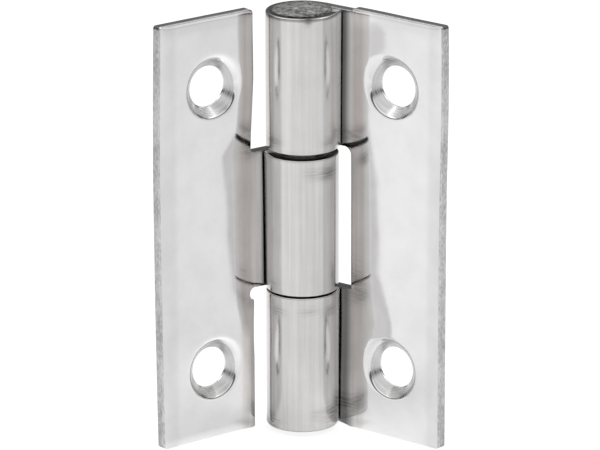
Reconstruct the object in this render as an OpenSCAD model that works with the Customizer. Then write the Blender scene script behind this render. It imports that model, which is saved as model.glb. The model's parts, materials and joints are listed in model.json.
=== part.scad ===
// Narrow butt hinge of polished stainless sheet, shown part open.
// Each leaf is punched flat, and its tabs are rolled forward round the pin.
// The pin fills all three knuckles, and its ends are peened over the outer two,
// so the pin turns with the right leaf and the left leaf swings on it.
//
// The right leaf stands in the X and Z plane. The origin is on its mounting face,
// at the middle of its two screw holes. The countersunk side faces -Y.

/* [Leaves] */
// Height of both leaves, along the pin
leaf_h = 40; // [36:0.5:60]
// Width of the left leaf, from the pin's axis to its outer edge
left_w = 14.3; // [13:0.1:24]
// Width of the right leaf, from the pin's axis to its outer edge
right_w = 13.9; // [13:0.1:24]
// Thickness of the sheet
sheet_t = 1.1; // [0.8:0.05:1.4]
// Angle between the two countersunk faces
opening = 104; // [0:1:270]

/* [Pin] */
// Diameter of the pin
pin_d = 4.4; // [3.4:0.1:5]
// Running clearance between the pin and each rolled knuckle, on the radius
pin_clear = 0.04; // [0.02:0.01:0.08]
// How far each peened end spreads over the knuckle, on the radius
peen_spread = 0.7; // [0.3:0.05:0.8]
// Height of the peened end's upright edge
peen_edge = 0.1; // [0.05:0.05:0.15]
// Rise of the peened end's low dome above that edge
peen_rise = 0.2; // [0.1:0.05:0.25]

/* [Knuckles] */
// Length of the middle knuckle, which belongs to the left leaf
middle_len = 13; // [10:0.5:16]
// Gap between the middle knuckle and the upper one
upper_gap = 0.5; // [0.1:0.05:0.8]
// Gap between the middle knuckle and the lower one, which carries it
lower_gap = 0.1; // [0.05:0.05:0.4]
// How far the upper knuckle's end lies below the leaf's top edge
top_inset = 0.2; // [0:0.05:0.6]
// How far the lower knuckle's end lies above the leaf's bottom edge
bottom_inset = 0.4; // [0.4:0.05:0.8]
// Angle at which the roll leaves the circle and runs straight to the leaf
roll_end = 22; // [15:1:30]
// Open seam between the rolled end and the face that it meets
seam = 0.15; // [0.05:0.01:0.3]

/* [Notches] */
// Clearance between a knuckle and the notch edge beside it
notch_clear = 0.5; // [0.3:0.05:1]
// Fillet in the right leaf's upper notch corner
notch_fillet = 0.75; // [0.3:0.05:0.9]
// Radius of the relief punched in the left leaf's lower notch corner
relief_r = 0.6; // [0.4:0.05:0.8]
// Distance from the relief's centre to the notch edge beside it
relief_back = 0.15; // [0.1:0.05:0.25]
// How far the relief bites into the tab above it
relief_bite = 0.03; // [0.02:0.01:0.1]

/* [Screw holes] */
// Diameter of the through hole
hole_d = 3.8; // [3:0.1:4.2]
// Diameter of the countersink at the face
sink_d = 5.6; // [5:0.1:5.9]
// Distance from the notch edge to the hole's centre
hole_setback = 4.61; // [4:0.05:5.5]
// Distance from each end of the leaf to the hole's centre
hole_end = 6.6; // [5:0.1:8]

/* [Hidden] */
$fn = 96;
cut = 1;
let_in = 0.005;
bore_r = pin_d / 2 + pin_clear;
barrel_r = bore_r + sheet_t;
notch_s = barrel_r + notch_clear;
hole_s = notch_s + hole_setback;
hole_z = leaf_h / 2 - hole_end;
middle_top = middle_len / 2;
middle_bottom = -middle_len / 2;
upper_bottom = middle_top + upper_gap;
upper_top = leaf_h / 2 - top_inset;
lower_top = middle_bottom - lower_gap;
relief_z = middle_bottom - relief_r + relief_bite;
lower_bottom = -leaf_h / 2 + bottom_inset;
straight_len = (bore_r - barrel_r * sin(roll_end)) / cos(roll_end) - seam;
sink_depth = (sink_d - hole_d) / 2;

// Everything in a leaf's own frame: the pin's axis at the origin, the leaf along +X,
// its back face at y = barrel_r and its countersunk face at y = bore_r.

// A point on the straight end of the roll: its distance across from the pin's axis,
// and how far it lies past the place where the roll leaves the circle.
function on_straight_end(across, along) = [
    across * cos(roll_end) - along * sin(roll_end),
    across * sin(roll_end) + along * cos(roll_end),
];

// Cross-section of one rolled tab: flat root, roll round the pin, straight end.
// The root runs on into the plate by one thickness, so that the two are one sheet.
// The straight end is let in by a hair, so that its faces cross the roll's cleanly.
module rolled_section() {
    inner = bore_r - let_in;
    outer = barrel_r - let_in;
    outer_corner = on_straight_end(outer, straight_len);
    difference() {
        union() {
            circle(r = barrel_r);
            translate([0, bore_r]) square([notch_s + sheet_t, sheet_t]);
            rotate(roll_end) square([outer, straight_len + seam / 2]);
        }
        circle(r = bore_r);
        polygon([
            [0, 0],
            on_straight_end(inner, 0),
            on_straight_end(inner, straight_len),
            outer_corner,
            [outer_corner.x + cut, bore_r],
            [0, bore_r],
        ]);
    }
}

// One knuckle with its tab, from the height z0 to the height z1.
module knuckle(z0, z1) {
    translate([0, 0, z0]) linear_extrude(z1 - z0) rolled_section();
}

// Stands an outline drawn in (distance from the axis, height) up as leaf sheet.
module sheet_metal() {
    translate([0, barrel_r, 0]) rotate([90, 0, 0]) linear_extrude(sheet_t) children();
}

module plate_outline(width) {
    translate([notch_s, -leaf_h / 2]) square([width - notch_s, leaf_h]);
}

// Through hole with a countersink that opens on the front face.
module screw_hole(z) {
    translate([hole_s, barrel_r + cut, z]) rotate([90, 0, 0])
        cylinder(r = hole_d / 2, h = sheet_t + 2 * cut);
    translate([hole_s, bore_r + sink_depth, z]) rotate([90, 0, 0])
        cylinder(r1 = hole_d / 2, r2 = sink_d / 2 + cut, h = sink_depth + cut);
}

module screw_holes() {
    for (side = [-1, 1]) screw_hole(side * hole_z);
}

// Material left in the corner under the upper tab, with a round inner edge.
module upper_corner_fillet() {
    difference() {
        translate([notch_s - notch_fillet, upper_bottom - notch_fillet]) square(notch_fillet);
        translate([notch_s - notch_fillet, upper_bottom - notch_fillet]) circle(r = notch_fillet);
    }
}

module right_blank() {
    difference() {
        union() {
            sheet_metal() plate_outline(right_w);
            sheet_metal() upper_corner_fillet();
            knuckle(upper_bottom, upper_top);
            knuckle(lower_bottom, lower_top);
        }
        screw_holes();
    }
}

module left_blank() {
    difference() {
        union() {
            sheet_metal() plate_outline(left_w);
            knuckle(middle_bottom, middle_top);
        }
        screw_holes();
        translate([notch_s - relief_back, barrel_r + cut, relief_z]) rotate([90, 0, 0])
            cylinder(r = relief_r, h = sheet_t + 2 * cut);
    }
}

// A peened pin end on the plane z = 0: a short upright edge under a low dome.
module peened_end() {
    end_r = bore_r + peen_spread;
    dome_r = (end_r * end_r + peen_rise * peen_rise) / (2 * peen_rise);
    intersection() {
        cylinder(r = end_r, h = peen_edge + peen_rise);
        translate([0, 0, peen_edge + peen_rise - dome_r]) sphere(r = dome_r);
    }
}

// Moves a leaf's own frame to its place beside the origin.
module at_pin_axis() {
    translate([-hole_s, -barrel_r, 0]) children();
}

module left_leaf() {
    color([0.83, 0.84, 0.84]) at_pin_axis() rotate(-opening) mirror([0, 1, 0]) left_blank();
}

module right_leaf() {
    color([0.88, 0.89, 0.89]) at_pin_axis() right_blank();
}

module pin() {
    color([0.5, 0.5, 0.5]) at_pin_axis() {
        translate([0, 0, lower_bottom]) cylinder(r = pin_d / 2, h = upper_top - lower_bottom);
        translate([0, 0, upper_top]) peened_end();
        translate([0, 0, lower_bottom]) mirror([0, 0, 1]) peened_end();
    }
}

left_leaf();
right_leaf();
pin();
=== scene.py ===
import json
import math

import bmesh
import bpy
from mathutils import Matrix, Vector, noise


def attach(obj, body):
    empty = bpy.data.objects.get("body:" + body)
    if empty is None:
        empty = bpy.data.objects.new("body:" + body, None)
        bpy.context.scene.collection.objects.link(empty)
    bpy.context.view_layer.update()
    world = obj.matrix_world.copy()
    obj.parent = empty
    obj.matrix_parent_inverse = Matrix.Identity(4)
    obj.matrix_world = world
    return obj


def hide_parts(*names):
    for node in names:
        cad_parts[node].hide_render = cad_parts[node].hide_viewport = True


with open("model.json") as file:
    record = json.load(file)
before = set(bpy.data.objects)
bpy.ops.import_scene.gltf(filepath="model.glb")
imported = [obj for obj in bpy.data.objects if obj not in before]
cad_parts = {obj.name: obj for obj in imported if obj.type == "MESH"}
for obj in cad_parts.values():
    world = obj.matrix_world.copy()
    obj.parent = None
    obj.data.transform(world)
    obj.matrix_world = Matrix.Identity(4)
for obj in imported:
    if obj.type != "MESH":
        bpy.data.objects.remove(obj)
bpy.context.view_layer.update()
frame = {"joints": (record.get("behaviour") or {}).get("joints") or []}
pin_x, pin_y, _ = frame["joints"][0]["pos_m"]

# Right leaf: 1.1 mm stainless sheet with two countersunk screw holes. Its two tabs are rolled
# forward round the pin and come back to the sheet with a thin seam. Sizes are in millimetres, in
# the leaf's own frame: pin's axis at the origin, X across, Z along the pin, back face at +Y.
sheet = 1.1
bore = 2.24
barrel = bore + sheet
notch_clear = 0.5
notch = barrel + notch_clear
notch_fillet = 0.75
notch_corner = 0.12
leaf_top, leaf_bottom = 20.0, -20.0
right_width = 13.9
upper_knuckle = (7.0, 19.8)
lower_knuckle = (-19.6, -6.63)

hole_setback = 4.61
hole_across = notch + hole_setback
hole_heights = (-13.4, 13.4)
hole_radius = 1.9
mouth_radius = 2.8
sink_depth = 0.9

roll_end = math.radians(22)
end_lean = math.radians(18.5)
seam = 0.15
corner = 0.25

# Side of the mesh's small cells, and how far the rings round a screw hole reach.
cell = 0.45
reach = 8 * cell


def even_stops(marks, step=cell):
    """Places between marks, evenly spread and about one step apart."""
    stops = []
    for low, high in zip(marks, marks[1:]):
        count = max(1, round((high - low) / step))
        stops += [low + (high - low) * i / count for i in range(count)]
    return stops[1:]


def geometry(faces):
    """The faces with their edges and corners, as bmesh operators want them."""
    edges = {e for f in faces for e in f.edges}
    verts = {v for f in faces for v in f.verts}
    return list(verts) + list(edges) + list(faces)


def score(blank, inside, along, stops):
    """Cuts lines across the faces that lie inside, at the stops along a direction."""
    for stop in stops:
        faces = [f for f in blank.faces if inside(f.calc_center_median())]
        bmesh.ops.bisect_plane(blank, geom=geometry(faces), dist=1e-5,
                               plane_co=Vector(along) * stop, plane_no=along)


def punched_blank(outline, width, knuckles):
    """Flat face of the leaf's blank, through (across, height, corner radius) points,
    scored into small cells."""
    blank = bmesh.new()
    points = [blank.verts.new((x, bore, z)) for x, z, _ in outline]
    blank.faces.new(points)
    for point, (_, _, radius) in zip(points, outline):
        if radius:
            bmesh.ops.bevel(blank, geom=[point], offset=radius, segments=6, profile=0.5,
                            affect="VERTICES", material=-1, clamp_overlap=False)
    bmesh.ops.remove_doubles(blank, verts=blank.verts[:], dist=1e-5)
    across, upward = (1, 0, 0), (0, 0, 1)
    score(blank, lambda c: True, across, [notch])
    widths = [notch, hole_across - reach, hole_across + reach, width]
    heights = [leaf_bottom]
    for hole in hole_heights:
        heights += [hole - reach, hole + reach]
    heights.append(leaf_top)
    score(blank, lambda c: c.x > notch, across, even_stops(widths))
    score(blank, lambda c: c.x > notch, upward, even_stops(heights))
    score(blank, lambda c: c.x < notch, across, even_stops([0, notch], cell / 3))
    for low, high in knuckles:
        score(blank, lambda c: c.x < notch, upward, even_stops([low, high]))
    return blank


# The lip round a countersink: its least depth, how much deeper it lies towards the pin, and its
# width in depths. The mesh's rings round the mouth are crowded towards it.
lip_least = 0.12
lip_more = 0.21
lip_way = (-0.89, 0, 0.45)
lip_width = 2.3
mouth_rings = 8
ring_crowding = 1.8


def lip_depth(out):
    """How deep the countersink's sharp edge lies this way from the hole: most towards the
    pin and a little up."""
    return lip_least + lip_more * max(0.0, out.normalized().dot(lip_way)) ** 2


def open_mouths(blank):
    """Swaps the cells round each screw hole for rings that run from its mouth outwards,
    and lets the sheet dip towards the mouth in a soft lip."""
    for hole in hole_heights:
        cells = [f for f in blank.faces
                 if abs(f.calc_center_median().x - hole_across) < reach
                 and abs(f.calc_center_median().z - hole) < reach]
        bmesh.ops.delete(blank, geom=cells, context="FACES")
        square = [e for e in blank.edges if e.is_boundary
                  and all(abs(v.co.x - hole_across) < reach + 1e-3 for v in e.verts)
                  and all(abs(v.co.z - hole) < reach + 1e-3 for v in e.verts)]
        ahead = Matrix.Translation((hole_across, bore - sheet, hole))
        mouth = bmesh.ops.create_circle(blank, cap_ends=False, segments=len(square),
                                        radius=mouth_radius,
                                        matrix=ahead @ Matrix.Rotation(math.pi / 2, 4, "X"))
        circle = list({e for v in mouth["verts"] for e in v.link_edges})
        bridge = bmesh.ops.bridge_loops(blank, edges=square + circle)
        bmesh.ops.translate(blank, vec=(0, sheet, 0), verts=mouth["verts"])
        for v in mouth["verts"]:
            out = Vector((v.co.x - hole_across, 0, v.co.z - hole)) / mouth_radius
            v.co -= out * lip_depth(out)
        spokes = [e for e in bridge["edges"] if e not in circle and e not in square]
        bmesh.ops.subdivide_edges(blank, edges=spokes, cuts=mouth_rings, use_grid_fill=True)
        for v in blank.verts:
            out = Vector((v.co.x - hole_across, 0, v.co.z - hole))
            side = max(abs(out.x), abs(out.z))
            if side < reach - 1e-3:
                deep = lip_depth(out)
                rim = mouth_radius - deep
                outer = out.length * reach / side
                share = max(0.0, (out.length - rim) / (outer - rim)) ** ring_crowding
                radius = rim + (outer - rim) * share
                rounding = max(0.0, 1 - (radius - rim) / (lip_width * deep)) ** 2
                middle = Vector((hole_across, bore + deep * rounding, hole))
                v.co = middle + out.normalized() * radius


def give_thickness(blank, depth):
    """Thickens the blank towards its back, and tapers each mouth down to its hole."""
    thick = bmesh.ops.extrude_face_region(blank, geom=blank.faces[:])
    for v in thick["geom"]:
        if isinstance(v, bmesh.types.BMVert):
            v.co.y = barrel
            v[depth] = 1.0
    for hole in hole_heights:
        centre = Vector((hole_across, barrel, hole))
        walls = [e for e in blank.edges if e.verts[0][depth] != e.verts[1][depth]
                 and (e.verts[0].co - centre).length < reach]
        for v in {v for e in walls for v in e.verts if v[depth] == 1}:
            v.co = centre + (v.co - centre).normalized() * hole_radius
        cut = bmesh.ops.subdivide_edges(blank, edges=walls, cuts=1)
        for v in cut["geom_inner"]:
            if isinstance(v, bmesh.types.BMVert):
                out = Vector((v.co.x - hole_across, 0, v.co.z - hole)).normalized()
                v.co = centre + out * hole_radius - Vector((0, sheet - sink_depth, 0))
                v[depth] = 0.5


def between(stops, z):
    """Straight-line value at z from (z, value) pairs."""
    for (low, a), (high, b) in zip(stops, stops[1:]):
        if low <= z <= high:
            return a + (b - a) * (z - low) / (high - low)
    return stops[0][1] if z < stops[0][0] else stops[-1][1]


# What the press leaves: how wide and how steep the front rolls over at a cut edge, the hump at a
# tab's root, how far the curl and the bent inner edge reach, a ripple, and the outer edge's slant.
edge_roll = 1.3
edge_roll_rate = 0.06
root_at = 2.5
root_hump = 0.05
curl_reach = 3
ripple = 0.02
inner_reach = 1.4
slant = 0.12
slant_reach = 0.6


def press_leaf(blank, depth, width, inner, outer, crest, swell, curl):
    """The press leaves its marks: edges that roll over a little in front, an outer edge
    sheared on a slant, inner and outer edges that aren't quite straight, a slight swell of
    the sheet round a crest beside the roll, and an inner edge that curls forward. Edges,
    swell and curl are given as (height, millimetres) pairs."""
    for v in blank.verts:
        x, _, z = v.co
        margin = min(width - x, leaf_top - z, z - leaf_bottom)
        if v[depth] == 0 and x > notch and margin < edge_roll:
            v.co.y += edge_roll_rate * (edge_roll - margin) ** 2
        if v[depth] == 0 and x < notch:
            v.co.y -= root_hump * math.cos(math.pi / 2 * min(1.0, abs(x - root_at))) ** 2
        if x > 0:
            hump = math.cos(math.pi * min(1.0, abs(x - crest) / (crest - 0.3)) / 2) ** 2
            v.co.y += between(swell, z) * hump
            v.co.y -= between(curl, z) * min(1.0, max(0.0, 1 - (x - notch) / curl_reach)) ** 2
            v.co.y += ripple * noise.noise(Vector((x * 0.22, z * 0.13, width))) * min(1, x / 3)
        if x > notch - 0.01:
            v.co.x += between(inner, z) * max(0, 1 - (x - notch) / inner_reach)
            v.co.x += between(outer, z) * (x - notch) / (width - notch)
        if v[depth] == 0:
            v.co.x -= slant * max(0.0, 1 - (width - x) / slant_reach)


roll_steps = 84


def roll_tabs(blank, askew):
    """Rolls each tab's end round the pin, then runs it straight to just short of the sheet,
    as much askew as the (height, millimetres) pairs say."""
    end = [f for f in blank.faces if all(abs(v.co.x) < 1e-4 for v in f.verts)]
    turn = math.radians(270) + roll_end
    rolled = bmesh.ops.spin(blank, geom=geometry(end), cent=(0, 0, 0), axis=(0, 0, 1),
                            dvec=(0, 0, 0), angle=turn, steps=roll_steps,
                            use_duplicate=False)
    last = [f for f in rolled["geom_last"] if isinstance(f, bmesh.types.BMFace)]
    straight = bmesh.ops.extrude_face_region(blank, geom=geometry(last))
    along = Vector((-math.sin(end_lean), math.cos(end_lean), 0))
    for v in straight["geom"]:
        if isinstance(v, bmesh.types.BMVert):
            v.co += along * (bore - seam - v.co.y) / along.y
            v.co.x += between(askew, v.co.z)


def in_hole(place):
    """Whether a place lies in a screw hole or its countersink."""
    return any(math.hypot(place.x - hole_across, place.z - hole) < mouth_radius + 0.05
               for hole in hole_heights)


# Edges that turn more sharply than this are rounded.
sharp = math.radians(26)


def break_edges(blank, depth, rim):
    """Rounds the sheared edges: well round the barrel's rims, a little elsewhere. Each kind
    of edge is known by its depth in the sheet and its zone, and has its own width."""
    bmesh.ops.recalc_face_normals(blank, faces=blank.faces[:])

    def zone(edge):
        middle = (edge.verts[0].co + edge.verts[1].co) / 2
        if in_hole(middle):
            return "hole"
        upright = abs(edge.verts[0].co.z - edge.verts[1].co.z) > 0.1
        return "flat" if upright or middle.x > 0 and middle.y > bore - 0.1 else "roll"

    for value, width, where in ((1, rim, "roll"), (1, 0.05, "flat"), (0, 0.05, "roll"),
                                (0, 0.015, "flat"), (0.5, 0.03, "hole"), (1, 0.05, "hole")):
        edges = [e for e in blank.edges
                 if e.calc_face_angle(0) > sharp
                 and all(abs(v[depth] - value) < 0.01 for v in e.verts)
                 and zone(e) == where]
        bmesh.ops.bevel(blank, geom=edges, offset=width, segments=3, profile=0.5,
                        affect="EDGES", material=-1, clamp_overlap=False, loop_slide=True)


# The lips carry a painted highlight, strongest up and a little towards the pin, in a narrow band
# round the mouth.
lip_highlight_way = (-0.5, 0, 0.87)
lip_highlight_radius = 2.85
lip_highlight_width = 0.3


def mark_sheet(blank, depth, smudges_shade_and_highlights, lip_highlight):
    """Notes each point's place on the flat strip, for the patterns of the finish: how far along it
    from the pin, how high, how deep. Smudges, painted shade and painted highlights are given as
    (along, high, half length, half height, strength): a positive strength darkens, a negative one
    lightens. The lips above the holes may take a painted highlight. The flat part's back stays
    free of them all. Cut faces take the second material and countersinks the third."""
    place = blank.verts.layers.float_vector.new("sheet_place")
    smudge_shade_and_highlight = blank.verts.layers.float.new("smudge_shade_and_highlight")
    for v in blank.verts:
        x, y, z = v.co
        wound = math.atan2(-x, y) % (2 * math.pi)
        flat = x > barrel + 0.05 or x >= 0 and y > bore - 0.12
        along = x if flat else -(bore + sheet / 2) * wound
        v[place] = (along, z, v[depth] * sheet)
        # Smudges darken the sheet and negative ones lighten it: besides real smudges they hold
        # painted shade and painted highlights.
        for middle, high, half_length, half_height, strength in smudges_shade_and_highlights:
            apart = math.hypot((along - middle) / half_length, (z - high) / half_height)
            v[smudge_shade_and_highlight] += strength * math.exp(-apart ** 2)
        # Painted highlight on the lip round each hole, lightening the sheet there.
        for hole in hole_heights:
            out = Vector((x - hole_across, 0, z - hole))
            up = max(0.0, out.normalized().dot(lip_highlight_way))
            band = (out.length - lip_highlight_radius) / lip_highlight_width
            v[smudge_shade_and_highlight] -= lip_highlight * up ** 2 * math.exp(-band ** 2)
        if along > 0 and v[depth] == 1:
            v[smudge_shade_and_highlight] = 0
    for face in blank.faces:
        depths = [v[depth] for v in face.verts]
        if max(depths) - min(depths) > 0.3:
            face.material_index = 2 if in_hole(face.calc_center_median()) else 1


def leaf_mesh(outline, width, knuckles, inner, outer, crest, swell, curl, askew, rim, smudges_shade_and_highlights,
              lip_highlight):
    """Makes one leaf as the shop does: punched, countersunk, pressed, rolled, its edges broken.
    Then its marks, painted shade and painted highlights are noted."""
    blank = punched_blank(outline, width, knuckles)
    open_mouths(blank)
    depth = blank.verts.layers.float.new("depth")
    give_thickness(blank, depth)
    press_leaf(blank, depth, width, inner, outer, crest, swell, curl)
    roll_tabs(blank, askew)
    break_edges(blank, depth, rim)
    mark_sheet(blank, depth, smudges_shade_and_highlights, lip_highlight)
    return blank


def add_piece(shape, name, turn, body, node):
    """Makes the shape, drawn in millimetres round the pin's axis, an object on its body."""
    bmesh.ops.scale(shape, vec=(0.001, 0.001, 0.001), verts=shape.verts[:])
    bmesh.ops.transform(shape, matrix=Matrix.Translation((pin_x, pin_y, 0)) @ turn,
                        verts=shape.verts[:])
    bmesh.ops.recalc_face_normals(shape, faces=shape.faces[:])
    for face in shape.faces:
        face.smooth = True
    mesh = bpy.data.meshes.new(name)
    shape.to_mesh(mesh)
    shape.free()
    piece = bpy.data.objects.new(name, mesh)
    bpy.context.scene.collection.objects.link(piece)
    flats = piece.modifiers.new("flats", "WEIGHTED_NORMAL")
    flats.keep_sharp = False
    flats.weight = 80
    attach(piece, body)
    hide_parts(node)
    return piece


def put(tree, kind, settings=None, **inputs):
    """Adds a node, with its settings, and its inputs as values or as other nodes' outputs."""
    added = tree.nodes.new("ShaderNode" + kind)
    for name, value in (settings or {}).items():
        setattr(added, name, value)
    for name, value in inputs.items():
        socket = added.inputs[int(name[1:])] if name[1:].isdigit() else \
            added.inputs[name.replace("_", " ")]
        if isinstance(value, bpy.types.NodeSocket):
            tree.links.new(value, socket)
        else:
            socket.default_value = value
    return added


def reckon(tree, how, *values):
    """One Math node; returns its output."""
    return put(tree, "Math", {"operation": how},
               **{"i%d" % i: value for i, value in enumerate(values)}).outputs[0]


def fade(tree, value, low, high, to_low, to_high):
    """A smooth change from one value to another; returns its output."""
    return put(tree, "MapRange", {"interpolation_type": "SMOOTHSTEP"}, Value=value,
               From_Min=low, From_Max=high, To_Min=to_low, To_Max=to_high).outputs[0]


def blend(tree, share, first, second):
    """The first value at no share, the second at full share; returns its output."""
    return put(tree, "Mix", {"data_type": "FLOAT"}, Factor=share, i2=first, i3=second).outputs[0]


def blend_colour(tree, share, first, second):
    """The same with colours."""
    return put(tree, "Mix", {"data_type": "RGBA"}, Factor=share, i6=first, i7=second).outputs[2]


def grey(tree, light):
    """The grey of this lightness; returns its output."""
    return put(tree, "CombineColor", None, Red=light, Green=light, Blue=light).outputs[0]


def noted(tree, name, output):
    """What was noted on the piece's mesh under this name; returns its output."""
    return put(tree, "Attribute", {"attribute_name": name}).outputs[output]


def new_group(name, ins, outs):
    """A new node group; returns it with the sockets at its two ends."""
    group = bpy.data.node_groups.new(name, "ShaderNodeTree")
    for label, kind in ins:
        group.interface.new_socket(label, in_out="INPUT", socket_type="NodeSocket" + kind)
    for label, kind in outs:
        group.interface.new_socket(label, in_out="OUTPUT", socket_type="NodeSocket" + kind)
    return group, group.nodes.new("NodeGroupInput").outputs, \
        group.nodes.new("NodeGroupOutput").inputs


def streaks(tree, place, scale, detail=3.0):
    """Noise stretched along one way by its three scales; returns a value round 0.5."""
    spread = put(tree, "Mapping", None, Vector=place, Scale=scale).outputs[0]
    return put(tree, "TexNoise", None, Vector=spread, Scale=1.0, Detail=detail,
               Roughness=0.6).outputs[0]


def metal(name):
    """A new metal material; returns it with its tree and shader."""
    made = bpy.data.materials.new(name)
    made.use_nodes = True
    shader = made.node_tree.nodes["Principled BSDF"]
    shader.inputs["Metallic"].default_value = 1
    return made, made.node_tree, shader


# The mill's and the buffing wheel's marks, shared by the polished sheet and the pin's wire:
# fine lines along the strip, fine lines across it, and cloudy patches.
wear, wear_in, wear_out = new_group("steel marks", [("Place", "Vector")],
                                    [("Lines", "Float"), ("Cross lines", "Float"),
                                     ("Clouds", "Float")])
wear.links.new(streaks(wear, wear_in["Place"], (0.1, 6, 1)), wear_out["Lines"])
wear.links.new(streaks(wear, wear_in["Place"], (2.4, 0.05, 1)), wear_out["Cross lines"])
wear.links.new(streaks(wear, wear_in["Place"], (0.35, 0.3, 0.3), 4.0), wear_out["Clouds"])

# Polished sheet. X runs along the strip from the pin, Y up and Z into the sheet: first come
# the places where the tools worked it.
polished, tree, shader = metal("polished sheet")
place = noted(tree, "sheet_place", "Vector")
marks = put(tree, "Group", {"node_tree": wear}, Place=place).outputs
run = put(tree, "SeparateXYZ", None, Vector=place).outputs
away = reckon(tree, "ABSOLUTE", run["Y"])
worked = fade(tree, run["X"], 4.9, 5.7, 1.0, 0.0)
rolled = fade(tree, run["X"], -0.5, 0.5, 1.0, 0.0)
root = reckon(tree, "SUBTRACT", worked, fade(tree, run["X"], 3.2, 4.2, 1.0, 0.0))
outer_tabs = fade(tree, away, 6.5, 6.6, 0.0, 1.0)
in_front = reckon(tree, "SUBTRACT", fade(tree, run["Z"], 0.3, 0.6, 1.0, 0.0), rolled)

# The rolled part is darker and browner than the flat, and the root browner still where the
# tool rubbed it.
dull = reckon(tree, "MULTIPLY", root, fade(tree, marks["Cross lines"], 0.25, 0.75, 0.6, 1.4))
dull = reckon(tree, "MULTIPLY", dull, fade(tree, away, 12, 17, 1.0, 0.5))
tone = blend_colour(tree, rolled, (0.715, 0.708, 0.71, 1), (0.60, 0.592, 0.582, 1))
tone = blend_colour(tree, dull, tone, (0.60, 0.565, 0.55, 1))

# Painted shade in the bend at the front of each root. At the outer tabs that painted shade is
# darker straight on than in its mirror images on the knuckles.
shade_from = fade(tree, run["Y"], -7, 7, 3.2, 2.88)
seen = put(tree, "LightPath").outputs["Is Camera Ray"]
darkest = blend(tree, seen, 0.8, fade(tree, run["Y"], -7, 7, 0.5, 0.4))
outer_bend_shade = fade(tree, run["X"], shade_from, reckon(tree, "ADD", shade_from, 1.15), darkest, 1.0)
middle_bend_shade = reckon(tree, "MULTIPLY", fade(tree, run["X"], 2.6, 3.25, 0.12, 0.72),
                     fade(tree, run["X"], 3.4, 4.2, 1.0, 1.39))
bend_shade = blend(tree, outer_tabs, middle_bend_shade, reckon(tree, "MULTIPLY", outer_bend_shade, outer_bend_shade))
bend_shade = blend(tree, in_front, 1.0, bend_shade)

# Streaks across the worked part, painted shade along the outer margin, darker outer ends of the
# knuckles, painted light on the straight end of each roll, clouds, and the smudges, painted shade
# and painted highlights that were noted on the mesh.
streak = fade(tree, marks["Cross lines"], 0.3, 0.7, -0.07, 0.07)
streak = reckon(tree, "MULTIPLY_ADD", streak, worked, 1.0)
# Painted shade along the outer margin.
streak = reckon(tree, "MULTIPLY", streak, fade(tree, run["X"], 12.2, 13.0, 1.0, 0.92))
ends = reckon(tree, "MULTIPLY", fade(tree, away, 19.4, 19.62, 0.0, 0.5), rolled)
# Painted light on the straight end of each roll.
straight = reckon(tree, "MULTIPLY_ADD", fade(tree, run["X"], -14.3, -13.9, 1.0, 0.0), 0.3, 1.0)
streak = reckon(tree, "MULTIPLY", streak, reckon(tree, "SUBTRACT", straight, ends))
cloud = fade(tree, marks["Clouds"], 0.25, 0.75, 0.96, 1.04)
# Smudges, painted shade and painted highlights, as noted on the mesh.
smudge_shade_and_highlight_tone = noted(tree, "smudge_shade_and_highlight", "Fac")
scuffs = fade(tree, streaks(tree, place, (0.5, 6.5, 1)), 0.42, 0.58, 0.6, 1.4)
smudge_shade_and_highlight_tone = reckon(tree, "MULTIPLY", smudge_shade_and_highlight_tone,
                blend(tree, fade(tree, smudge_shade_and_highlight_tone, 0, 0.03, 0, 1), 1.0, scuffs))
level = reckon(tree, "MULTIPLY", reckon(tree, "MULTIPLY", cloud, streak),
               reckon(tree, "MULTIPLY", bend_shade, reckon(tree, "SUBTRACT", 1.0, smudge_shade_and_highlight_tone)))
tone = put(tree, "VectorMath", {"operation": "SCALE"}, Vector=tone, Scale=level).outputs[0]
tree.links.new(tone, shader.inputs["Base Color"])

# Gloss and fine relief: the clouds, the root and the rolled part are a little rougher.
gloss = reckon(tree, "MULTIPLY_ADD", marks["Clouds"], 0.05, 0.035)
gloss = reckon(tree, "MULTIPLY_ADD", reckon(tree, "SUBTRACT", worked, rolled), 0.08, gloss)
gloss = reckon(tree, "MULTIPLY_ADD", rolled, reckon(tree, "MULTIPLY", marks["Cross lines"], 0.24),
               gloss)
tree.links.new(gloss, shader.inputs["Roughness"])
height = reckon(tree, "ADD", marks["Lines"],
                reckon(tree, "MULTIPLY", marks["Cross lines"],
                       reckon(tree, "MULTIPLY_ADD", rolled, 3.0, worked)))
bump = put(tree, "Bump", None, Strength=0.5, Distance=2e-6, Height=height).outputs[0]
tree.links.new(bump, shader.inputs["Normal"])

# Sheared edges: grey metal, smooth where the punch cut it and torn behind. Painted light and shade
# set their lightness, which differs at the leaf's ends, outer edge and notch, and at the knuckles:
# dark in the notch and round the knuckles, lighter at the outer edge, and darker on the upper ends
# than on the lower.
sheared, tree, shader = metal("sheared edge")
place = noted(tree, "sheet_place", "Vector")
run = put(tree, "SeparateXYZ", None, Vector=place).outputs
tears = streaks(tree, place, (5.0, 2.4, 5.0), 5.0)
patches = streaks(tree, place, (0.6, 0.3, 0.4), 3.0)
torn = fade(tree, run["Z"], 0.2, 0.5, 0.0, 1.0)
rough = fade(tree, reckon(tree, "ADD", tears, reckon(tree, "MULTIPLY", patches, 0.6)),
             0.55, 1.05, 0.72, 1.28)
at_end = fade(tree, reckon(tree, "ABSOLUTE", run["Y"]), 19.65, 19.75, 0.0, 1.0)
outside = fade(tree, run["X"], 6, 7, 0.0, 1.0)
notched = fade(tree, run["Z"], 0.4, 0.9, 0.05, 0.09)
outer_edge = fade(tree, run["X"], 14.09, 14.12, 0.54, 0.47)
light = blend(tree, outside, notched, outer_edge)
at_top = fade(tree, run["Y"], -1.0, 1.0, 0.45, 0.13)
light = blend(tree, at_end, light, fade(tree, run["Z"], 0.15, 0.4, 0.5, at_top))
knuckle_end = fade(tree, run["X"], -1.0, 0.0, 1.0, 0.0)
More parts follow.
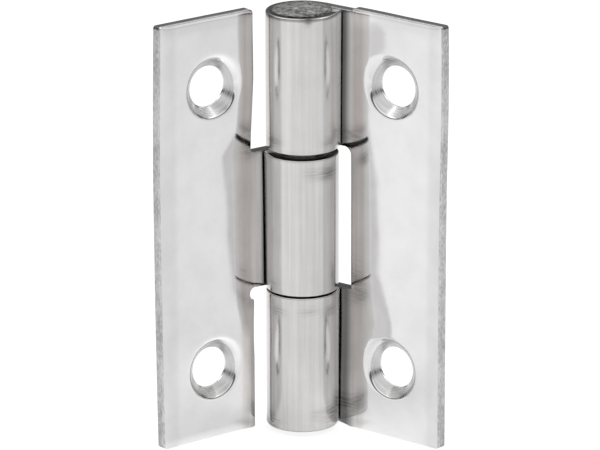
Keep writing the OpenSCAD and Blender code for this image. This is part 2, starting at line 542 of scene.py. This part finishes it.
cut_end = fade(tree, run["X"], -14.5, -14.3, 1.0, 0.0)
end_light = blend(tree, cut_end, fade(tree, run["Z"], 0.8, 1.1, 0.05, 0.12), 0.5)
light = blend(tree, knuckle_end, light, end_light)
light = reckon(tree, "MULTIPLY", light, rough)
tree.links.new(grey(tree, light), shader.inputs["Base Color"])
tree.links.new(fade(tree, torn, 0, 1, 0.32, 0.5), shader.inputs["Roughness"])
bump = put(tree, "Bump", None, Strength=0.7, Distance=2e-5,
           Height=reckon(tree, "MULTIPLY", tears, reckon(tree, "ADD", torn, 0.3))).outputs[0]
tree.links.new(bump, shader.inputs["Normal"])

# Countersinks, turned with a cutter that left ridges round each hole. Painted shade darkens them
# away from the pin and up, and painted light brightens them at the bottom.
turned, tree, shader = metal("turned countersink")
place = noted(tree, "sheet_place", "Vector")
run = put(tree, "SeparateXYZ", None, Vector=place).outputs
level = reckon(tree, "MULTIPLY", reckon(tree, "SIGN", run["Y"]), -hole_heights[1])
level = reckon(tree, "ADD", run["Y"], level)
aside = reckon(tree, "SUBTRACT", run["X"], hole_across)
angle = reckon(tree, "ARCTAN2", level, aside)
radius = reckon(tree, "SQRT", reckon(tree, "MULTIPLY_ADD", level, level,
                                     reckon(tree, "MULTIPLY", aside, aside)))
around = put(tree, "CombineXYZ", None, X=angle, Y=radius, Z=run["Z"]).outputs[0]
ridges = streaks(tree, around, (0.8, 9.0, 3.0), 3.0)
outward = reckon(tree, "DIVIDE", reckon(tree, "MULTIPLY_ADD", aside, 0.82,
                                        reckon(tree, "MULTIPLY", level, 0.57)), radius)
downward = reckon(tree, "DIVIDE", reckon(tree, "MULTIPLY_ADD", aside, 0.5,
                                         reckon(tree, "MULTIPLY", level, -0.866)), radius)
light = fade(tree, ridges, 0.35, 0.65, 0.5, 0.62)
light = reckon(tree, "MULTIPLY", light, fade(tree, outward, 0.1, 0.6, 1.0, 0.66))
light = reckon(tree, "MULTIPLY", light, fade(tree, downward, 0.8, 0.98, 1.0, 1.35))
light = reckon(tree, "MULTIPLY", light,
               reckon(tree, "SUBTRACT", 1.0, noted(tree, "smudge_shade_and_highlight", "Fac")))
tree.links.new(grey(tree, light), shader.inputs["Base Color"])
tree.links.new(fade(tree, ridges, 0.3, 0.7, 0.2, 0.32), shader.inputs["Roughness"])
bump = put(tree, "Bump", None, Strength=0.5, Distance=1e-5, Height=ridges).outputs[0]
tree.links.new(bump, shader.inputs["Normal"])

# The leaf's outline, and what the press and use left on it.
right_outline = [
    (0, upper_knuckle[0], 0), (notch, upper_knuckle[0], notch_fillet),
    (notch, lower_knuckle[1], notch_corner), (0, lower_knuckle[1], 0),
    (0, lower_knuckle[0], 0), (2.2, lower_knuckle[0] - 0.06, 0),
    (3.2, lower_knuckle[0] - 0.26, 0), (notch, leaf_bottom, 0), (right_width, leaf_bottom, corner),
    (right_width, leaf_top, corner), (notch, leaf_top, 0.1), (notch, upper_knuckle[1], 0.1),
    (0, upper_knuckle[1], 0),
]
unbent = [(leaf_bottom, 0), (leaf_top, 0)]
right_outer = [(-20, 0.03), (0, 0.02), (5, 0.05), (12, 0.18), (17, 0.16), (20, 0.1)]
right_swell = [(-20, -0.02), (-16, 0), (-13, 0.12), (-9.7, 0.19), (-7.8, 0.14), (-4.9, 0.08),
               (0, 0.07), (4, 0.07), (8, 0.01), (9.5, 0), (13, 0.03), (17, 0.1), (20, 0.1)]
right_askew = [(-20, -0.15), (20, 0.04)]
# Smudges on the right leaf, with painted shade and painted highlights among them.
right_smudges_shade_and_highlights = [
    (-7.9, 8.1, 1.0, 0.5, 0.35), (-13.0, 8.1, 0.8, 0.4, 0.3), (-11.1, 19.6, 0.3, 0.25, 0.8),
    (-7.3, 19.8, 0.9, 0.4, 0.7), (-9.9, 19.8, 0.7, 0.12, -0.9), (-12.2, 19.8, 0.5, 0.12, -0.9),
    (4.9, 19.3, 1.3, 0.7, -0.35), (6.9, 11.6, 0.4, 0.3, 0.1), (6.9, -15.2, 0.4, 0.3, 0.1),
    (4.0, 8.2, 1.1, 0.6, 0.35), (-8.4, -8.1, 0.8, 0.5, 0.3), (-11.2, -7.9, 0.8, 0.35, 0.2),
    (-13.1, -8.1, 0.7, 0.5, 0.3), (-7.8, -18.8, 1.0, 0.8, 0.4), (-11.6, -18.0, 0.4, 0.25, 0.2),
    (-13.3, -18.2, 1.0, 0.9, 0.45), (3.2, -17.8, 1.2, 1.0, 0.42), (4.3, -6.0, 1.2, 1.9, 0.35),
]
right_shape = leaf_mesh(right_outline, right_width, (upper_knuckle, lower_knuckle),
                        inner=unbent, outer=right_outer, crest=5.5, swell=right_swell,
                        curl=unbent, askew=right_askew, rim=0.13, smudges_shade_and_highlights=right_smudges_shade_and_highlights, lip_highlight=0)
right_leaf = add_piece(right_shape, "right_leaf_rolled", Matrix.Identity(4), "right_side",
                       "right_leaf")
for steel in (polished, sheared, turned):
    right_leaf.data.materials.append(steel)

# Left leaf: the same sheet with one tab, rolled the other way round between the other two.
# It turns on the pin. A small round relief is punched in the corner below its tab.
left_width = 14.3
middle_knuckle = (-6.45, 6.5)
opening = math.radians(104)
relief_radius = 0.6
relief_back = 0.15
relief_bite = 0.03

relief_z = middle_knuckle[0] - relief_radius + relief_bite
arc_steps = 14
arc_start = math.pi - math.asin(1 - relief_bite / relief_radius)
arc_end = -math.acos(relief_back / relief_radius)
arc = [arc_start + (arc_end - arc_start) * i / arc_steps for i in range(arc_steps + 1)]
left_outline = [(0, middle_knuckle[0], 0)]
left_outline += [(notch - relief_back + relief_radius * math.cos(a),
                  relief_z + relief_radius * math.sin(a), 0) for a in arc]
left_outline += [
    (notch, leaf_bottom, corner), (left_width, leaf_bottom, corner),
    (left_width, leaf_top, corner), (notch, leaf_top, corner),
    (notch, middle_knuckle[1], notch_corner), (0, middle_knuckle[1], 0),
]
left_inner = [(-20, 0.12), (-13, 0.14), (-11.6, 0.2), (-9.7, 0.16), (-8, 0.04), (6.3, 0),
              (6.6, 0.3), (8.5, 0.3), (13.6, 0.08), (18.8, 0.1)]
left_outer = [(-20, -0.17), (-15, -0.08), (-10, -0.02), (-5, 0.05), (0, 0.08), (6, 0.12),
              (13, 0.05), (17, -0.03), (20, -0.08)]
left_swell = [(-20, 0), (-9, 0), (-6.5, 0.05), (-2, 0.07), (2, 0.08), (6.5, 0.1), (9, -0.02),
              (11, -0.07), (13.4, -0.11), (16, -0.08), (18, -0.05), (20, -0.05)]
left_curl = [(-20, 0.19), (-11.6, 0.19), (-9.7, 0.12), (-8, 0.03), (-6.5, 0), (20, 0)]
left_askew = [(-6.5, -0.145), (6.5, -0.015)]
# Smudges on the left leaf, with painted shade and a painted highlight along the bottom edge.
left_smudges_shade_and_highlights = [
    (-8.3, 5.1, 1.0, 0.7, 0.45), (-9.9, 5.3, 0.6, 0.6, 0.15), (-13.2, -5.6, 0.5, 0.5, 0.25),
    (4.0, 7.0, 0.9, 0.9, 0.55), (4.2, 9.0, 0.6, 0.8, 0.2), (4.4, -7.9, 0.4, 0.5, 0.2),
    (7.2, 11.4, 0.6, 0.45, 0.5), (7.2, -15.4, 0.6, 0.45, 0.35), (9.5, -19.8, 7.5, 0.3, -0.3),
]
left_shape = leaf_mesh(left_outline, left_width, (middle_knuckle,), inner=left_inner,
                       outer=left_outer, crest=5.0, swell=left_swell, curl=left_curl,
                       askew=left_askew, rim=0.1, smudges_shade_and_highlights=left_smudges_shade_and_highlights, lip_highlight=0.35)
left_turn = Matrix.Rotation(-opening, 4, "Z") @ Matrix.Diagonal((1, -1, 1, 1))
left_leaf = add_piece(left_shape, "left_leaf_rolled", left_turn, "left_side", "left_leaf")
for steel in (polished, sheared, turned):
    left_leaf.data.materials.append(steel)

# Pin: drawn stainless wire that fills the three knuckles. Its ends are hammered over the
# outer two, so they are low domes full of dents, with a ragged rim.
pin_radius = 2.2
peen_radius = 2.94
peen_edge = 0.1
peen_rise = 0.2
dome_radius = 2.82
dome_rings = 20
dent_depth = 0.11
pin_steps = 120
pin_top, pin_bottom = upper_knuckle[1], lower_knuckle[0]

# Half the pin's outline, as (radius, height) pairs from the shank's end to the dome's middle.
crown = [(2.7, 0.0), (2.86, 0.03), (peen_radius, peen_edge * 0.8), (2.88, peen_edge * 1.3)]
for i in range(dome_rings + 1):
    inward = i / dome_rings
    crown.append((dome_radius * (1 - inward), peen_edge + peen_rise * (1 - (1 - inward) ** 2)))
half = [(pin_radius, 0.0)] + crown
profile = [(r, pin_bottom - h) for r, h in reversed(half)] + [(r, pin_top + h) for r, h in half]
pin_shape = bmesh.new()
points = [pin_shape.verts.new((r, 0, z)) for r, z in profile]
lengths = [pin_shape.edges.new(pair) for pair in zip(points, points[1:])]
bmesh.ops.spin(pin_shape, geom=points + lengths, cent=(0, 0, 0), axis=(0, 0, 1), dvec=(0, 0, 0),
               angle=2 * math.pi, steps=pin_steps, use_merge=True, use_duplicate=False)
bmesh.ops.remove_doubles(pin_shape, verts=pin_shape.verts[:], dist=1e-4)

# The blows leave rounded dents and a ragged rim, which is drawn in on the right leaf's side.
for v in pin_shape.verts:
    across = Vector((v.co.x, v.co.y, 0))
    above = max(v.co.z - pin_top, pin_bottom - v.co.z)
    if above > 0.02:
        spot = Vector((v.co.x, v.co.y, math.copysign(3, v.co.z)))
        near, _ = noise.voronoi(spot * 1.3)
        dent = min(1.0, near[0] * 1.6) * 0.75 + noise.noise(spot * 2.7) * 0.35
        lowered = dent_depth * min(1.0, max(0.0, dent)) * min(1.0, above / 0.12)
        v.co.z -= math.copysign(lowered, v.co.z)
    if above > 0.01 and across.length > 2.4:
        ragged = noise.noise(across * 1.1) + 0.6 * noise.noise(across * 3.1)
        bare = max(0.0, across.normalized().dot((0.98, 0.19, 0))) ** 3
        v.co -= across * max(0.0, 0.015 + 0.04 * ragged + 0.11 * bare)
pin_place = pin_shape.verts.layers.float_vector.new("sheet_place")
for v in pin_shape.verts:
    v[pin_place] = (math.atan2(v.co.y, v.co.x) * pin_radius, v.co.z, 0)
for face in pin_shape.faces:
    middle = face.calc_center_median().z
    if middle > pin_top or middle < pin_bottom:
        face.material_index = 1
pin = add_piece(pin_shape, "pin_peened", Matrix.Identity(4), "right_side", "pin")

wire, tree, shader = metal("drawn wire")
place = noted(tree, "sheet_place", "Vector")
marks = put(tree, "Group", {"node_tree": wear}, Place=place).outputs
light = fade(tree, marks["Cross lines"], 0.2, 0.8, 0.4, 0.6)
tree.links.new(grey(tree, light), shader.inputs["Base Color"])
shader.inputs["Roughness"].default_value = 0.3

# Hammered ends: mottled, lightest in the middle, with painted shade at the rim where the head
# meets the knuckle.
hammered, tree, shader = metal("hammered end")
spot = put(tree, "TexCoord").outputs["Object"]
spot = put(tree, "VectorMath", {"operation": "SCALE"}, Vector=spot, Scale=1000.0).outputs[0]
crumbs = put(tree, "TexNoise", None, Vector=spot, Scale=2.2, Detail=6.0, Roughness=0.65).outputs[0]
blows = put(tree, "TexVoronoi", {"feature": "SMOOTH_F1"}, Vector=spot, Scale=1.6).outputs[0]
light = fade(tree, reckon(tree, "ADD", crumbs, reckon(tree, "MULTIPLY", blows, 0.25)),
             0.42, 0.84, 0.06, 0.46)
middle = put(tree, "VectorMath", {"operation": "SUBTRACT"}, Vector=spot,
             i1=(pin_x * 1000, pin_y * 1000, 0)).outputs[0]
middle = put(tree, "VectorMath", {"operation": "MULTIPLY"}, Vector=middle,
             i1=(1, 1, 0)).outputs[0]
radius = put(tree, "VectorMath", {"operation": "LENGTH"}, Vector=middle).outputs["Value"]
light = reckon(tree, "MULTIPLY", light, fade(tree, radius, 0.6, 1.8, 1.25, 0.88))
light = reckon(tree, "MULTIPLY", light, fade(tree, radius, 2.55, 2.8, 1.0, 0.25))
tone = put(tree, "CombineColor", None, Red=light, Green=light,
           Blue=reckon(tree, "MULTIPLY", light, 0.98)).outputs[0]
tree.links.new(tone, shader.inputs["Base Color"])
tree.links.new(fade(tree, crumbs, 0.3, 0.7, 0.3, 0.5), shader.inputs["Roughness"])
bump = put(tree, "Bump", None, Strength=0.8, Distance=6e-5,
           Height=reckon(tree, "ADD", crumbs, blows)).outputs[0]
tree.links.new(bump, shader.inputs["Normal"])
for steel in (wire, hammered):
    pin.data.materials.append(steel)

# Camera: the photograph's, fitted to the edges of the leaves. It looks at a point beside the
# middle of the pin.
camera_data = bpy.data.cameras.new("camera")
camera_data.lens = 284.0
camera = bpy.data.objects.new("camera", camera_data)
bpy.context.scene.collection.objects.link(camera)
azimuth, elevation, roll = math.radians(38.29), math.radians(17.85), math.radians(-0.07)
distance = 0.433
aim_height = -0.0006
aim_aside = -0.00022
across = Vector((math.cos(azimuth), math.sin(azimuth), 0))
aim = Vector((pin_x, pin_y, aim_height)) + across * aim_aside
facing = (Matrix.Rotation(azimuth, 4, "Z") @ Matrix.Rotation(math.pi / 2 - elevation, 4, "X")
          @ Matrix.Rotation(roll, 4, "Z"))
camera.matrix_world = Matrix.Translation(aim + facing.to_3x3() @ Vector((0, 0, distance))) @ facing
bpy.context.scene.camera = camera

# Floor: a white sheet, on which the hinge's shadow falls. It glows evenly for the camera, and
# by place for the steel that mirrors it.
floor_half = 3
floor_mesh = bpy.data.meshes.new("floor")
floor_shape = bmesh.new()
bmesh.ops.create_grid(floor_shape, x_segments=1, y_segments=1, size=floor_half,
                      matrix=Matrix.Translation((0, 0, leaf_bottom * 0.001)))
floor_shape.to_mesh(floor_mesh)
floor_shape.free()
floor = bpy.data.objects.new("floor", floor_mesh)
bpy.context.scene.collection.objects.link(floor)

paper = bpy.data.materials.new("paper")
paper.use_nodes = True
tree = paper.node_tree
tree.nodes.clear()
spot = put(tree, "TexCoord").outputs["Object"]
off = put(tree, "VectorMath", {"operation": "SUBTRACT"}, Vector=spot,
          i1=(pin_x, pin_y, leaf_bottom * 0.001)).outputs[0]
way = put(tree, "VectorMath", {"operation": "NORMALIZE"}, Vector=off).outputs[0]
tilt = put(tree, "VectorMath", {"operation": "DOT_PRODUCT"}, Vector=way,
           i1=(-0.094, 0.015, 0)).outputs["Value"]
near = put(tree, "VectorMath", {"operation": "LENGTH"}, Vector=off).outputs["Value"]
front = put(tree, "VectorMath", {"operation": "DOT_PRODUCT"}, Vector=way,
            i1=(0.62, -0.785, 0)).outputs["Value"]
side = put(tree, "VectorMath", {"operation": "DOT_PRODUCT"}, Vector=way,
           i1=(0.144, 0.138, 0)).outputs["Value"]

# The glow that the steel mirrors, painted light and shade: a little stronger on the left leaf's
# side, weaker far off and behind, stronger far out in front, uneven close to the hinge, and weak
# right under the pin, where a painted contact shadow lies.
mirrored = reckon(tree, "ADD", tilt, 0.85)
mirrored = reckon(tree, "ADD", mirrored, fade(tree, near, 0.07, 0.2, 0.0, -0.13))
mirrored = reckon(tree, "ADD", mirrored, fade(tree, front, -0.45, 0.0, -0.14, 0.0))
painted_contact_shade = reckon(tree, "MULTIPLY", fade(tree, near, 0.0042, 0.0058, -0.3, 0.0),
                fade(tree, front, 0.3, 0.75, 1.0, 0.0))
ahead = reckon(tree, "MULTIPLY", fade(tree, near, 0.07, 0.12, 0.0, 0.13),
               fade(tree, front, 0.3, 0.75, 0.0, 1.0))
close = reckon(tree, "MULTIPLY", fade(tree, near, 0.008, 0.02, 1.0, 0.0),
               reckon(tree, "ADD", side, 0.03))
mirrored = reckon(tree, "ADD", reckon(tree, "ADD", mirrored, close),
                  reckon(tree, "ADD", painted_contact_shade, ahead))
rays = put(tree, "LightPath").outputs
strength = reckon(tree, "MULTIPLY", rays["Is Glossy Ray"], mirrored)
strength = reckon(tree, "MULTIPLY_ADD", rays["Is Camera Ray"], 0.85, strength)
glow = put(tree, "Emission", None, Strength=strength).outputs[0]
matt = put(tree, "BsdfDiffuse", None, Color=(0.8, 0.8, 0.8, 1)).outputs[0]
both = put(tree, "AddShader", None, i0=glow, i1=matt).outputs[0]
put(tree, "OutputMaterial", None, Surface=both)
floor_mesh.materials.append(paper)

# Studio: a pale room with a darker band low round its walls, and two soft lamps, one on each
# side, high up and a little behind the hinge.
world = bpy.data.worlds.new("studio")
bpy.context.scene.world = world
world.use_nodes = True
tree = world.node_tree
way = put(tree, "TexCoord").outputs["Generated"]
rise = put(tree, "SeparateXYZ", None, Vector=way).outputs["Z"]
room = reckon(tree, "ADD", fade(tree, rise, 0.06, 0.2, 1.0, 0.12),
              fade(tree, rise, 0.3, 0.5, 0.0, 1.0))
rays = put(tree, "LightPath").outputs
level = reckon(tree, "MULTIPLY", room, rays["Is Glossy Ray"])
level = reckon(tree, "MAXIMUM", level, rays["Is Camera Ray"])
level = reckon(tree, "MULTIPLY_ADD", rays["Is Diffuse Ray"], 0.12, level)
background = tree.nodes["Background"]
background.inputs["Color"].default_value = (1, 1, 1, 1)
tree.links.new(level, background.inputs["Strength"])

lamp_size = 0.35
lamp_distance = 0.55
for name, direction, power in (("key lamp", (-0.59, -0.31, 0.75), 0.55),
                               ("rim lamp", (0.44, 0.49, 0.75), 0.4)):
    lamp_data = bpy.data.lights.new(name, "AREA")
    lamp_data.shape = "DISK"
    lamp_data.size = lamp_size
    lamp_data.energy = power
    lamp = bpy.data.objects.new(name, lamp_data)
    bpy.context.scene.collection.objects.link(lamp)
    stand = Vector(direction).normalized() * lamp_distance
    facing = stand.to_track_quat("Z", "Y").to_matrix().to_4x4()
    lamp.matrix_world = Matrix.Translation(stand) @ facing

bpy.context.scene.view_settings.view_transform = "Standard"

bpy.context.view_layer.update()
